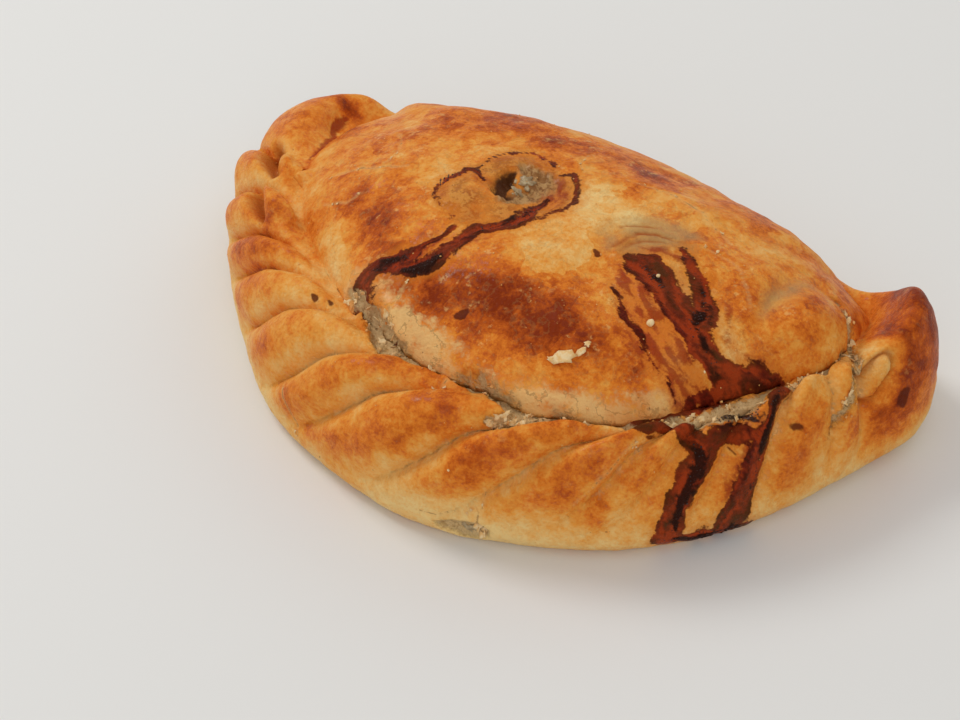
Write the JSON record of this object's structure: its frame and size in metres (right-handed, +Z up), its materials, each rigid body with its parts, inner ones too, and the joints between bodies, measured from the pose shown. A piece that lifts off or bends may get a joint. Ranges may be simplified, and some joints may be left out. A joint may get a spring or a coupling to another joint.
{
  "type": "cornish pasty",
  "caption": "Baked half-moon savoury pastry with a domed top, a rope-crimped front edge and two raised ears; a ready-to-eat meal.",
  "frame": {"origin": "middle of the bounding box at the height of the flat base", "axes": "+X along the length to the taller ear, -Y to the rope-crimped front, +Z up"},
  "size_m": [0.1724, 0.1156, 0.045],
  "materials": {
    "crust": "egg-washed baked pastry, satin on the browned parts, floury and matt in the creases"
  },
  "bodies": {
    "root": {"pasty": "crust"}
  },
  "joints": []
}
